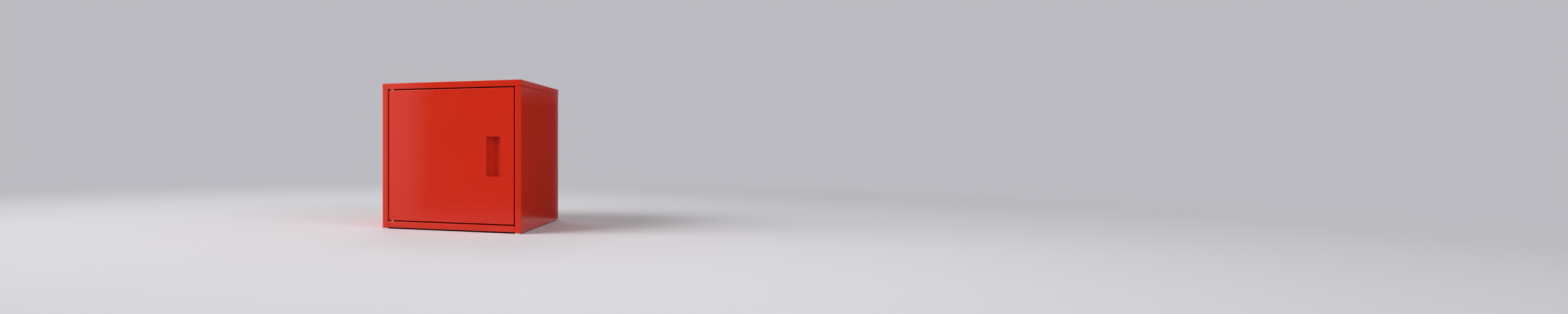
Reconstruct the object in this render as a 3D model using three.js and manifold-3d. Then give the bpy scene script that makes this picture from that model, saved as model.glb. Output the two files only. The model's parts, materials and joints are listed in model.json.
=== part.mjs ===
// A cube-shaped steel cabinet with one inset door, in millimetres, +Z up, its front facing -Y.
// The origin is on the ground, under the middle of the cabinet.
import * as THREE from 'three';
import { mergeVertices } from 'three/addons/utils/BufferGeometryUtils.js';
import Module from 'manifold-3d';

const wasm = await Module();
wasm.setup();

// Overall size, over the lid and the feet
const width = 350;
const depth = 350;
const height = 350;

// Folded sheet steel
const sheet = 0.8;
const bendRadius = 0.5;
const groundCornerRadius = 1.5;
const weldGap = 0.1;
const seam = 0.3;

// Lid
const lidHeight = 14.6;
const lidOverhang = 0.5;
const lidReturn = 14.8;
const lidSeam = 0.4;

// Side panels
const flangeWidth = 14.8;
const stopDepth = 19.8;
const stopLipWidth = 10;

// Bottom tray
const trayHeight = 14.5;
const trayReturn = 8;
const traySeam = 0.7;

// Back panel
const backTopFlange = 12;
const backSideClearance = 0.7;

// Door
const doorDepth = 15;
const doorGap = 2.6;
const doorLip = 11;

// Handle: an opening in the door with a folded cup welded behind it
const handleWidth = 33;
const handleLength = 91.5;
const handleEdgeDistance = 32.5;
const cupDepth = 14;
const cupUndercut = 7;
const cupFloorWidth = 11.5;
const cupRimGap = 0.2;
const cupTabWidth = 8;

// Pivot pins, which carry the door at its top and bottom
const pivotEdgeDistance = 7.5;
const pivotSetback = 5;
const pivotHeadRadius = 4;
const pivotHeadHeight = 1.5;
const pivotBarrelRadius = 2.5;
const pivotTipRadius = 2.1;
const pivotTipLength = 3;
const pivotChamfer = 0.5;
const pivotClearance = 0.1;
const pivotShoulderGap = 0.3;

// Magnetic catch
const catchWidth = 8;
const catchLength = 40;
const catchGap = 0.3;
const catchScrewSpacing = 28;
const magnetWidth = 5;
const magnetLength = 18;
const magnetDepth = 2.4;
const magnetClearance = 0.1;
const catchScrewRadius = 1.1;
const catchScrewHeadRadius = 2;
const catchScrewHeadHeight = 1;
const catchScrewTail = 2.5;
const catchScrewClearance = 0.1;

// Rubber door bumpers
const bumperRadius = 4;
const bumperGap = 0.3;
const bumperStemRadius = 1.6;
const bumperStemLength = 3;
const bumperClearance = 0.2;
const bumperInset = 42;
const bumperRimShare = 0.35;

// Feet
const footHeight = 2;
const footWidth = 10.8;
const footLength = 13;
const footSetback = 1;
const footCornerRadius = 2;
const footStemRadius = 2.5;
const footStemLength = 4;
const footClearance = 0.2;

// Screws and clinch nuts between the lid and the sides
const screwRadius = 2.4;
const screwHeadRadius = 4.6;
const screwHeadHeight = 2.8;
const screwSocketWidth = 3;
const screwSocketDepth = 1.6;
const screwTail = 1.2;
const screwClearance = 0.2;
const screwInset = 62;
const screwCrownShare = 0.7;
const screwPointShare = 0.7;
const nutRadius = 4.6;
const nutHeight = 4;

// Rivets between the bottom tray and the sides
const rivetRadius = 2;
const rivetHeadRadius = 4;
const rivetHeadHeight = 1.1;
const rivetBulbRadius = 3;
const rivetBulbHeight = 3;
const rivetHeadGap = 0.1;
const rivetClearance = 0.1;
const rivetInset = 62;
const rivetCrownShare = 0.6;

// How far a cutter runs past the faces that it cuts
const overrun = 1;

// Steps in a bend, a rounded corner, a full circle and a fastener's circle, and a hexagon's sides
const bendSteps = 3;
const cornerSteps = 3;
const circleSteps = 24;
const fastenerSteps = 16;
const hexSides = 6;

// Planes and edges that more than one piece shares
const carcassRight = width / 2 - lidOverhang;
const carcassFront = -depth / 2 + lidOverhang;
const carcassRear = -carcassFront;
const lidBottom = height - lidHeight;
const sideTop = lidBottom - lidSeam;
const sideBottom = footHeight;
const openingRight = carcassRight - flangeWidth;
const flangeMiddle = carcassRight - flangeWidth / 2;
const stopFront = carcassFront + stopDepth - sheet;
const stopRear = carcassFront + stopDepth;
const trayBottom = sideBottom + sheet + traySeam;
const trayTop = trayBottom + trayHeight;
const backRear = carcassRear - sheet - seam;
const backFront = backRear - sheet;

const doorWidth = 2 * (openingRight - doorGap);
const doorRight = doorWidth / 2;
const doorBottom = trayTop + doorGap;
const doorTop = lidBottom - doorGap;
const doorHeight = doorTop - doorBottom;
const doorMiddle = (doorTop + doorBottom) / 2;
const doorBack = carcassFront + doorDepth;

const handleRight = doorRight - handleEdgeDistance;
const handleLeft = handleRight - handleWidth;
const handleMiddle = height / 2;
const handleBottom = handleMiddle - handleLength / 2;
const handleTop = handleMiddle + handleLength / 2;

const pivotX = -doorRight + pivotEdgeDistance;
const pivotY = carcassFront + pivotSetback;
const stopLipMiddle = openingRight - stopLipWidth / 2;

// Places of the fasteners, feet and bumpers
const screwYs = [carcassFront + screwInset, carcassRear - screwInset];
const rivetYs = [carcassFront + rivetInset, carcassRear - rivetInset];
const footX = openingRight + footWidth / 2;
const footYs = [carcassFront + footSetback + footLength / 2, carcassRear - footSetback - footLength / 2];
const bumperZs = [doorBottom + bumperInset, doorTop - bumperInset];
const catchScrewZs = [doorMiddle - catchScrewSpacing / 2, doorMiddle + catchScrewSpacing / 2];

// Turns a closed geometry into a solid that can be joined and cut
function solidOf(geometry) {
  geometry.deleteAttribute('normal');
  geometry.deleteAttribute('uv');
  const merged = mergeVertices(geometry);
  return new wasm.Manifold(new wasm.Mesh({
    numProp: 3,
    vertProperties: new Float32Array(merged.attributes.position.array),
    triVerts: new Uint32Array(merged.index.array),
  }));
}

function geometryOf(solid) {
  const mesh = solid.getMesh();
  const geometry = new THREE.BufferGeometry();
  geometry.setAttribute('position', new THREE.BufferAttribute(mesh.vertProperties, 3));
  geometry.setIndex(new THREE.BufferAttribute(mesh.triVerts, 1));
  geometry.computeVertexNormals();
  return geometry;
}

function join(...solids) {
  return solids.reduce((whole, solid) => whole.add(solid));
}

function cut(solid, ...tools) {
  return tools.reduce((rest, tool) => rest.subtract(tool), solid);
}

// A block between two opposite corners
function block([x0, y0, z0], [x1, y1, z1]) {
  const geometry = new THREE.BoxGeometry(x1 - x0, y1 - y0, z1 - z0);
  geometry.translate((x0 + x1) / 2, (y0 + y1) / 2, (z0 + z1) / 2);
  return solidOf(geometry);
}

// An upright round rod, also used as a drill
function rod(x, y, z0, z1, radius, steps = circleSteps) {
  const geometry = new THREE.CylinderGeometry(radius, radius, z1 - z0, steps);
  geometry.rotateX(Math.PI / 2);
  geometry.translate(x, y, (z0 + z1) / 2);
  return solidOf(geometry);
}

// A turned piece about an upright axis, from [radius, height] corners that start and end on it
function turned(x, y, z, corners, steps = circleSteps) {
  const points = corners.map(([radius, rise]) => new THREE.Vector2(radius, rise));
  const geometry = new THREE.LatheGeometry(points, steps);
  geometry.rotateX(Math.PI / 2);
  geometry.translate(x, y, z);
  return solidOf(geometry);
}

// Lays a solid that stands on the Z axis so that it runs along +Y from a point
function alongY(solid, x, y, z) {
  return solid.rotate([-90, 0, 0]).translate([x, y, z]);
}

// Lays a section drawn in Y and Z, and extruded, along X
const sectionAlongX = new THREE.Matrix4().makeBasis(
  new THREE.Vector3(0, 1, 0), new THREE.Vector3(0, 0, 1), new THREE.Vector3(1, 0, 0));

function roundedRectangle(sizeX, sizeY, radius) {
  const x = sizeX / 2 - radius;
  const y = sizeY / 2 - radius;
  const shape = new THREE.Shape();
  shape.absarc(x, -y, radius, -Math.PI / 2, 0);
  shape.absarc(x, y, radius, 0, Math.PI / 2);
  shape.absarc(-x, y, radius, Math.PI / 2, Math.PI);
  shape.absarc(-x, -y, radius, Math.PI, 1.5 * Math.PI);
  return shape;
}

// A box with rounded edges, centred in X and Y, standing on Z = 0
function softBox(sizeX, sizeY, sizeZ, cornerRadius, edgeRadius) {
  const geometry = new THREE.ExtrudeGeometry(roundedRectangle(sizeX, sizeY, cornerRadius), {
    depth: sizeZ - 2 * edgeRadius,
    curveSegments: cornerSteps,
    bevelThickness: edgeRadius,
    bevelSize: edgeRadius,
    bevelOffset: -edgeRadius,
    bevelSegments: bendSteps,
  });
  geometry.translate(0, 0, edgeRadius);
  return solidOf(geometry);
}

// A folded pan, centred in X and Y: its closed face lies on Z = 0, its flanges rise along +Z
// and end in returned lips
function foldedPan(sizeX, sizeY, sizeZ, lip) {
  const outside = softBox(sizeX, sizeY, sizeZ, groundCornerRadius, bendRadius + sheet);
  const insideCorner = groundCornerRadius - sheet;
  const inside = softBox(sizeX - 2 * sheet, sizeY - 2 * sheet, sizeZ - 2 * sheet, insideCorner, bendRadius)
    .translate([0, 0, sheet]);
  const mouthX = sizeX / 2 - lip;
  const mouthY = sizeY / 2 - lip;
  const mouth = block([-mouthX, -mouthY, sizeZ - sheet - overrun], [mouthX, mouthY, sizeZ + overrun]);
  return cut(outside, inside, mouth);
}

// The cross-section of a folded sheet. The corners are those of one face, and the sheet lies on
// the right of the way that they run. Each fold is an arc about one centre for both faces.
function foldedSection(corners) {
  const at = corners.map(([x, y]) => new THREE.Vector2(x, y));
  const runs = at.slice(1).map((point, i) => point.clone().sub(at[i]).normalize());
  const face = [];
  const back = [];
  const put = (point, right) => {
    face.push(point);
    back.unshift(point.clone().addScaledVector(right, sheet));
  };
  const rightOf = (run) => new THREE.Vector2(run.y, -run.x);
  put(at[0], rightOf(runs[0]));
  for (let i = 1; i < at.length - 1; i += 1) {
    const turn = Math.atan2(runs[i - 1].cross(runs[i]), runs[i - 1].dot(runs[i]));
    const side = Math.sign(turn);
    const radius = turn > 0 ? bendRadius : bendRadius + sheet;
    const reach = radius * Math.tan(Math.abs(turn) / 2);
    const right = rightOf(runs[i - 1]);
    const tangent = at[i].clone().addScaledVector(runs[i - 1], -reach);
    const centre = tangent.addScaledVector(right, -side * radius);
    for (let step = 0; step <= bendSteps; step += 1) {
      const across = right.clone().rotateAround(new THREE.Vector2(), turn * step / bendSteps);
      put(centre.clone().addScaledVector(across, side * radius), across);
    }
  }
  put(at[at.length - 1], rightOf(runs[runs.length - 1]));
  return new THREE.Shape([...face, ...back]);
}

// An outline in plan, raised between two heights
function raised(shape, z0, z1) {
  const geometry = new THREE.ExtrudeGeometry(shape, {
    depth: z1 - z0,
    curveSegments: cornerSteps,
    bevelEnabled: false,
  });
  geometry.translate(0, 0, z0);
  return solidOf(geometry);
}

function outline(corners) {
  return new THREE.Shape(corners.map(([x, y]) => new THREE.Vector2(x, y)));
}

// A bar along X with a rounded section between two opposite corners [y, z]
function bar(x0, x1, [y0, z0], [y1, z1], radius) {
  const geometry = new THREE.ExtrudeGeometry(roundedRectangle(y1 - y0, z1 - z0, radius), {
    depth: x1 - x0,
    curveSegments: cornerSteps,
    bevelEnabled: false,
  });
  geometry.applyMatrix4(sectionAlongX);
  geometry.translate(x0, (y0 + y1) / 2, (z0 + z1) / 2);
  return solidOf(geometry);
}

// Lid: a shallow pan turned upside down, with holes for four screws and the upper pivot
function lid() {
  const pan = foldedPan(width, depth, lidHeight, lidReturn)
    .rotate([180, 0, 0])
    .translate([0, 0, height]);
  const drill = (x, y, radius, steps) => (
    rod(x, y, lidBottom - overrun, lidBottom + sheet + overrun, radius, steps));
  const screwHoles = [-1, 1].flatMap((side) => screwYs.map((y) => (
    drill(side * flangeMiddle, y, screwRadius + screwClearance, fastenerSteps))));
  return cut(pan, drill(pivotX, pivotY, pivotTipRadius + pivotClearance, circleSteps), ...screwHoles);
}

// Side panel: a folded sheet whose front flange returns inwards to a door stop. Side 1 is the
// right, where the door closes, and side -1 the left.
function sidePanel(side) {
  const folded = raised(foldedSection([
    [openingRight, carcassRear],
    [carcassRight, carcassRear],
    [carcassRight, carcassFront],
    [openingRight, carcassFront],
    [openingRight, stopFront],
    [openingRight - stopLipWidth, stopFront],
  ]), sideBottom, sideTop);
  const lipFoot = block([openingRight - stopLipWidth - overrun, stopFront - overrun, sideBottom - overrun],
    [openingRight, stopRear + overrun, trayTop + seam]);
  const endFlange = (z) => block([openingRight + sheet / 2, carcassFront + sheet / 2, z],
    [carcassRight - sheet / 2, backFront - seam, z + sheet]);
  const panel = join(cut(folded, lipFoot), endFlange(sideBottom), endFlange(sideTop - sheet));

  const drillFlange = (x, y, z, radius) => (
    rod(x, y, z - overrun, z + sheet + overrun, radius, fastenerSteps));
  const drillLip = (z, radius) => alongY(rod(0, 0, -overrun, sheet + overrun, radius, fastenerSteps),
    stopLipMiddle, stopFront, z);
  const holes = [
    ...screwYs.map((y) => drillFlange(flangeMiddle, y, sideTop - sheet, screwRadius + screwClearance)),
    ...rivetYs.map((y) => drillFlange(flangeMiddle, y, sideBottom, rivetRadius + rivetClearance)),
    ...footYs.map((y) => drillFlange(footX, y, sideBottom, footStemRadius + footClearance)),
  ];
  if (side > 0) {
    holes.push(...bumperZs.map((z) => drillLip(z, bumperStemRadius + bumperClearance)));
    holes.push(...catchScrewZs.map((z) => drillLip(z, catchScrewRadius + catchScrewClearance)));
  }
  const right = cut(panel, ...holes);
  return side > 0 ? right : right.mirror([1, 0, 0]);
}

// Bottom tray: its front flange is the rail under the door, and behind the side panels' stops it
// widens to the side panels
function bottomTray() {
  const narrow = openingRight - seam;
  const wide = carcassRight - sheet - seam;
  const shoulder = stopRear + seam;
  const rear = backFront - seam;
  const outside = join(
    bar(-narrow, narrow, [carcassFront, trayBottom], [rear, trayTop], bendRadius + sheet),
    block([-wide, shoulder, trayBottom], [wide, rear, trayTop]),
  );
  const inside = join(
    bar(-narrow + sheet, narrow - sheet, [carcassFront + sheet, trayBottom + sheet],
      [rear - sheet, trayTop - sheet], bendRadius),
    block([-wide + sheet, shoulder + sheet, trayBottom + sheet],
      [wide - sheet, rear - sheet, trayTop - sheet]),
  );
  const mouth = block([-narrow + trayReturn, carcassFront + trayReturn, trayBottom - overrun],
    [narrow - trayReturn, rear - trayReturn, trayBottom + sheet + overrun]);
  const drillReturn = (x, y, radius) => (
    rod(x, y, trayBottom - overrun, trayBottom + sheet + overrun, radius, fastenerSteps));
  const holes = [-1, 1].flatMap((side) => [
    ...rivetYs.map((y) => drillReturn(side * flangeMiddle, y, rivetRadius + rivetClearance)),
    drillReturn(side * footX, footYs[1], footStemRadius + footClearance),
  ]);
  const pivotHole = rod(pivotX, pivotY, trayTop - sheet - overrun, trayTop + overrun,
    pivotTipRadius + pivotClearance);
  return cut(outside, inside, mouth, pivotHole, ...holes);
}

// Back panel: a plate between the side panels whose top folds forward under the lid
function backPanel() {
  const narrow = openingRight - seam;
  const wide = carcassRight - sheet - backSideClearance;
  const section = foldedSection([
    [backFront, sideBottom],
    [backFront, sideTop - sheet],
    [backRear - backTopFlange, sideTop - sheet],
  ]);
  const folded = new THREE.ExtrudeGeometry(section, { depth: 2 * narrow, bevelEnabled: false });
  folded.applyMatrix4(sectionAlongX);
  folded.translate(-narrow, 0, 0);
  const plate = block([-wide, backFront, sideBottom], [wide, backRear, sideTop - sheet - bendRadius]);
  return join(solidOf(folded), plate);
}

// Door: a deep pan with the handle's opening in its face and a pivot hole at its top and bottom
function doorPan() {
  const pan = foldedPan(doorWidth, doorHeight, doorDepth, doorLip)
    .rotate([90, 0, 180])
    .translate([0, carcassFront, doorMiddle]);
  const opening = block([handleLeft, carcassFront - overrun, handleBottom],
    [handleRight, carcassFront + sheet + overrun, handleTop]);
  const pivotHole = (z0, z1) => rod(pivotX, pivotY, z0, z1, pivotBarrelRadius + pivotClearance);
  return cut(pan, opening, pivotHole(doorBottom - overrun, doorBottom + sheet + overrun),
    pivotHole(doorTop - sheet - overrun, doorTop + overrun));
}

// Handle cup: an undercut wall for the fingers, a flat floor and a ramp back up to the door's face
function handleCup() {
  const wall = handleRight + cupUndercut;
  const crease = handleRight - cupFloorWidth;
  const rim = handleLeft - cupRimGap;
  const front = carcassFront + sheet + weldGap;
  const floor = carcassFront + cupDepth;
  const folded = raised(foldedSection([
    [wall + sheet + cupTabWidth, front],
    [wall, front],
    [wall, floor],
    [crease, floor],
    [rim, front],
    [rim - cupTabWidth, front],
  ]), handleBottom - sheet, handleTop + sheet);
  const bite = sheet / 2;
  const endOutline = outline([[wall + bite, front], [wall + bite, floor + bite],
    [crease, floor + bite], [rim, front + bite], [rim, front]]);
  return join(folded, raised(endOutline, handleBottom - sheet, handleBottom),
    raised(endOutline, handleTop, handleTop + sheet));
}

// Pivot pin: a head inside the door, a barrel that fills the door's gap and a tip in the carcass.
// The lower one is drawn up from the tray's top, and the upper one is its mirror image.
function pivotPin(up) {
  const seat = doorGap + sheet + weldGap;
  const pin = turned(pivotX, pivotY, 0, [
    [0, -pivotTipLength],
    [pivotTipRadius - pivotChamfer, -pivotTipLength],
    [pivotTipRadius, -pivotTipLength + pivotChamfer],
    [pivotTipRadius, pivotShoulderGap],
    [pivotBarrelRadius, pivotShoulderGap],
    [pivotBarrelRadius, seat],
    [pivotHeadRadius, seat],
    [pivotHeadRadius, seat + pivotHeadHeight - pivotChamfer],
    [pivotHeadRadius - pivotChamfer, seat + pivotHeadHeight],
    [0, seat + pivotHeadHeight],
  ]);
  return up ? pin.mirror([0, 0, 1]).translate([0, 0, lidBottom]) : pin.translate([0, 0, trayTop]);
}

// Magnetic catch: a plastic housing on the right stop lip, with a magnet let into its face
const catchFront = doorBack + catchGap;
const magnetRear = catchFront + magnetDepth;

function catchHousing() {
  const body = block([stopLipMiddle - catchWidth / 2, catchFront, doorMiddle - catchLength / 2],
    [stopLipMiddle + catchWidth / 2, stopFront - weldGap, doorMiddle + catchLength / 2]);
  const reach = [magnetWidth / 2 + magnetClearance, magnetLength / 2 + magnetClearance];
  const pocket = block([stopLipMiddle - reach[0], catchFront - overrun, doorMiddle - reach[1]],
    [stopLipMiddle + reach[0], magnetRear + magnetClearance, doorMiddle + reach[1]]);
  const holes = catchScrewZs.flatMap((z) => [
    alongY(rod(0, 0, -overrun, stopFront - catchFront + overrun,
      catchScrewRadius + catchScrewClearance, fastenerSteps), stopLipMiddle, catchFront, z),
    alongY(rod(0, 0, -overrun, catchScrewHeadHeight + catchScrewClearance,
      catchScrewHeadRadius + catchScrewClearance, fastenerSteps), stopLipMiddle, catchFront, z),
  ]);
  return cut(body, pocket, ...holes);
}

function catchMagnet() {
  return block([stopLipMiddle - magnetWidth / 2, catchFront, doorMiddle - magnetLength / 2],
    [stopLipMiddle + magnetWidth / 2, magnetRear, doorMiddle + magnetLength / 2]);
}

function catchScrew(z) {
  const tail = stopRear - catchFront + catchScrewTail;
  return alongY(turned(0, 0, 0, [
    [0, 0],
    [catchScrewHeadRadius, 0],
    [catchScrewHeadRadius, catchScrewHeadHeight],
    [catchScrewRadius, catchScrewHeadHeight],
    [catchScrewRadius, tail - catchScrewRadius],
    [0, tail],
  ], fastenerSteps), stopLipMiddle, catchFront, z);
}

// Rubber bumper: a dome in front of the right stop lip, on a stem pushed through the lip
function doorBumper(z) {
  const rise = stopFront - weldGap - doorBack - bumperGap;
  const domeSteps = [...Array(bendSteps).keys()].map((step) => {
    const angle = (Math.PI / 2) * (step / bendSteps);
    return [bumperRadius * Math.sin(angle), rise * (1 - bumperRimShare) * (1 - Math.cos(angle))];
  });
  return alongY(turned(0, 0, 0, [
    ...domeSteps,
    [bumperRadius, rise * (1 - bumperRimShare)],
    [bumperRadius, rise],
    [bumperStemRadius, rise],
    [bumperStemRadius, rise + weldGap + sheet + bumperStemLength],
    [0, rise + weldGap + sheet + bumperStemLength],
  ], fastenerSteps), stopLipMiddle, stopFront - weldGap - rise, z);
}

// Foot: a thin pad under a side panel's corner, with a stem pushed up through the flange
function foot(side, y) {
  const x = side * footX;
  const pad = raised(roundedRectangle(footWidth, footLength, footCornerRadius), 0, footHeight - weldGap);
  const stemTop = footHeight + sheet + footStemLength;
  const stem = rod(x, y, footHeight / 2, stemTop, footStemRadius, fastenerSteps);
  return join(pad.translate([x, y, 0]), stem);
}

// Screws up through the side panels' top flanges into clinch nuts inside the lid
const nutSeat = lidBottom + sheet + weldGap;

function lidScrew(x, y) {
  const seat = sideTop - sheet - weldGap;
  const end = nutSeat + nutHeight + screwTail - seat;
  const screw = turned(x, y, seat, [
    [0, -screwHeadHeight],
    [screwHeadRadius * screwCrownShare, -screwHeadHeight],
    [screwHeadRadius, -screwHeadHeight * screwCrownShare],
    [screwHeadRadius, 0],
    [screwRadius, 0],
    [screwRadius, end - screwRadius * screwPointShare],
    [screwRadius * screwPointShare, end],
    [0, end],
  ], fastenerSteps);
  const socket = rod(x, y, seat - screwHeadHeight - overrun, seat - screwHeadHeight + screwSocketDepth,
    screwSocketWidth / 2, hexSides);
  return cut(screw, socket);
}

function lidNut(x, y) {
  const body = rod(x, y, nutSeat, nutSeat + nutHeight, nutRadius, hexSides);
  const bore = rod(x, y, nutSeat - overrun, nutSeat + nutHeight + overrun,
    screwRadius + screwClearance, fastenerSteps);
  return cut(body, bore);
}

// Rivets up through the side panels' bottom flanges into the tray's returns
function baseRivet(x, y) {
  const seat = sideBottom - rivetHeadGap;
  const grip = trayBottom + sheet + weldGap - seat;
  return turned(x, y, seat, [
    [0, -rivetHeadHeight],
    [rivetHeadRadius * rivetCrownShare, -rivetHeadHeight],
    [rivetHeadRadius, -rivetHeadHeight * rivetCrownShare],
    [rivetHeadRadius, 0],
    [rivetRadius, 0],
    [rivetRadius, grip],
    [rivetBulbRadius, grip],
    [rivetBulbRadius, grip + rivetBulbHeight],
    [0, grip + rivetBulbHeight],
  ], fastenerSteps);
}

const finishes = {
  powderCoat: { color: 0xc92b16, roughness: 0.38, metalness: 0 },
  nylon: { color: 0xe9e7e0, roughness: 0.45, metalness: 0 },
  rubber: { color: 0x2a2a2a, roughness: 0.85, metalness: 0 },
  catchPlastic: { color: 0xd9d7d0, roughness: 0.5, metalness: 0 },
  zincSteel: { color: 0xb8babc, roughness: 0.35, metalness: 1 },
  magnet: { color: 0x3c3b3a, roughness: 0.6, metalness: 0.4 },
};

const cabinet = new THREE.Group();

function place(name, solid, finish, parent = cabinet) {
  const mesh = new THREE.Mesh(geometryOf(solid), new THREE.MeshStandardMaterial(finishes[finish]));
  mesh.name = name;
  parent.add(mesh);
}

place('lid', lid(), 'powderCoat');
place('left_side_panel', sidePanel(-1), 'powderCoat');
place('right_side_panel', sidePanel(1), 'powderCoat');
place('bottom_tray', bottomTray(), 'powderCoat');
place('back_panel', backPanel(), 'powderCoat');
place('catch_housing', catchHousing(), 'catchPlastic');
place('catch_magnet', catchMagnet(), 'magnet');
['lower', 'upper'].forEach((end, i) => {
  place(`${end}_catch_screw`, catchScrew(catchScrewZs[i]), 'zincSteel');
  place(`${end}_door_bumper`, doorBumper(bumperZs[i]), 'rubber');
});
['left', 'right'].forEach((hand, j) => ['front', 'rear'].forEach((end, i) => {
  const side = 2 * j - 1;
  const x = side * flangeMiddle;
  place(`${end}_${hand}_foot`, foot(side, footYs[i]), 'nylon');
  place(`${end}_${hand}_rivet`, baseRivet(x, rivetYs[i]), 'zincSteel');
  place(`${end}_${hand}_lid_screw`, lidScrew(x, screwYs[i]), 'zincSteel');
  place(`${end}_${hand}_lid_nut`, lidNut(x, screwYs[i]), 'zincSteel');
}));

// The door and what turns with it
const door = new THREE.Group();
cabinet.add(door);
place('door_pan', doorPan(), 'powderCoat', door);
place('handle_cup', handleCup(), 'powderCoat', door);
place('lower_pivot_pin', pivotPin(false), 'nylon', door);
place('upper_pivot_pin', pivotPin(true), 'nylon', door);

export default cabinet;
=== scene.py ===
"""A folded sheet-steel box cabinet with one inset door, in metres, +Z up, its front facing -Y.

Smooth folds, ground corners, punched holes, powder coat and moulded fittings are built around the
cabinet's fixed frame, which gives the place and size of every piece."""
import json
import math

import bmesh
import bpy
from bpy.props import FloatProperty, FloatVectorProperty, IntProperty, PointerProperty
from mathutils import Matrix, Vector

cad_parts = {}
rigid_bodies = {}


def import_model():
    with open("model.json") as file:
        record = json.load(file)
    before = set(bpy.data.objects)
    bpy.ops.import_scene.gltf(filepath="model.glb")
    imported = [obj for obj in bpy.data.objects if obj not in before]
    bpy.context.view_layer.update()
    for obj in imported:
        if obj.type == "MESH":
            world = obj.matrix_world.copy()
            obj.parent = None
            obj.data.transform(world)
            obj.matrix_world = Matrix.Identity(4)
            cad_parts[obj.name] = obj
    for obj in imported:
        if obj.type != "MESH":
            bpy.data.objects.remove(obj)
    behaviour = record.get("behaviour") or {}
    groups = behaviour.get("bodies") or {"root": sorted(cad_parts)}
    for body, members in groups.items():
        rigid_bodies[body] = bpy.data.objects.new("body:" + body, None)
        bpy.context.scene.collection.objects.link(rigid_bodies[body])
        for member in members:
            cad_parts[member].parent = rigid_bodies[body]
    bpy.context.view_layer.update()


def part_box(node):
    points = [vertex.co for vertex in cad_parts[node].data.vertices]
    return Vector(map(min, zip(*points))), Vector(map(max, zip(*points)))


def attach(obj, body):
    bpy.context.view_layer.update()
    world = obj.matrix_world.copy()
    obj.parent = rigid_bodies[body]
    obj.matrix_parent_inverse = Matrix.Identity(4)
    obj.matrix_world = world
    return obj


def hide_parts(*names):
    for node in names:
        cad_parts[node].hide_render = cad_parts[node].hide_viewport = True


bl_info = {
    "name": "Folded steel box cabinet",
    "version": (1, 0, 0),
    "blender": (4, 5, 0),
    "location": "View3D > Sidebar > Cabinet",
    "description": "Builds a folded sheet-steel box cabinet with a pivoted door and its fittings",
    "category": "Add Mesh",
}

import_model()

MM = 0.001
lid_low, lid_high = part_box("lid")
side_low, side_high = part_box("right_side_panel")
tray_low, tray_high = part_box("bottom_tray")
back_low, back_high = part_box("back_panel")
door_low, door_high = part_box("door_pan")
cup_low, cup_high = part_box("handle_cup")


def length(name, description, default):
    """A size that a user may change. Its default is given in millimetres."""
    return FloatProperty(name=name, description=description, default=default * MM,
                         min=0.0, precision=5, unit="LENGTH")


def share(name, description, default):
    """A share from 0 to 1 that a user may change."""
    return FloatProperty(name=name, description=description, default=default,
                         min=0.0, max=1.0, subtype="FACTOR")


def colour(name, description, red, green, blue):
    """A colour given as 0 to 255 display values."""
    return FloatVectorProperty(name=name, description=description, default=linear(red, green, blue),
                               min=0.0, max=1.0, size=3, subtype="COLOR")


def linear(red, green, blue):
    """Display values as the linear light that shaders work in."""
    def one(value):
        value /= 255
        return value / 12.92 if value <= 0.04045 else ((value + 0.055) / 1.055) ** 2.4
    return one(red), one(green), one(blue)


class SheetSizes(bpy.types.PropertyGroup):
    """How the sheet steel is folded, cut and ground."""
    sheet: length("Sheet", "Thickness of the steel sheet", 0.8)
    bend: length("Bend", "Inner radius of a fold", 0.8)
    corner: length("Ground corner", "Radius of a welded and ground corner", 1.8)
    mouth_corner: length("Mouth corner", "Radius where two returned lips meet", 0.3)
    raw_edge: length("Cut edge", "Rounding that the coating gives a cut edge", 0.15)
    punched_edge: length("Punched edge", "Rounding of the handle opening's front edge", 0.7)
    mitre: length("Mitre slit", "Width of the slit where two returned lips meet", 0.4)
    relief: length("Bend relief", "Width of the notch beside a fold's end", 0.7)
    seam: length("Seam", "Gap between two neighbouring sheets", 0.3)
    bend_steps: IntProperty(name="Bend steps", description="Faces across a fold",
                            default=8, min=2, max=24)
    round_steps: IntProperty(name="Round steps", description="Faces round a hole or pin",
                             default=48, min=12, max=96)


class CarcassSizes(bpy.types.PropertyGroup):
    """Widths of the carcass's flanges, lips and marks."""
    lid_return: length("Lid return", "Width of the lid's lips under its top", 14.8)
    stile: length("Stile", "Width of a side panel's front and rear flanges", 14.8)
    stop_depth: length("Stop depth", "Depth of the door stop behind the front", 19.8)
    tray_return: length("Tray return", "Width of the tray's lips underneath", 8.0)
    shoulder_gap: length("Shoulder gap", "Gap between a side panel's stop and the tray", 0.3)
    weld_spacing: length("Weld spacing", "Distance between two spot welds", 52.0)
    weld_radius: length("Weld radius", "Radius of a spot weld's dimple", 2.8)
    weld_depth: length("Weld depth", "Depth of a spot weld's dimple", 0.25)


class DoorSizes(bpy.types.PropertyGroup):
    """Sizes of the door's folds and of its recessed handle."""
    lip: length("Door lip", "Width of the lips behind the door", 11.0)
    handle_width: length("Handle width", "Width of the opening in the door's face", 33.0)
    handle_edge: length("Handle edge", "From the opening to the door's edge", 32.5)
    undercut: length("Undercut", "Reach of the cup behind the door's face", 7.0)
    floor_width: length("Floor width", "Width of the cup's floor inside the opening", 11.5)
    rim_gap: length("Rim gap", "From the opening to the cup's rim", 0.2)
    rim_step: length("Rim step", "Depth of the steep wall between the rim and the ramp", 3.2)
    rim_lean: length("Rim lean", "Sideways run of the steep wall beside the rim", 0.7)
    tab: length("Tab", "Width of the cup's welded tabs", 8.0)


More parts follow.
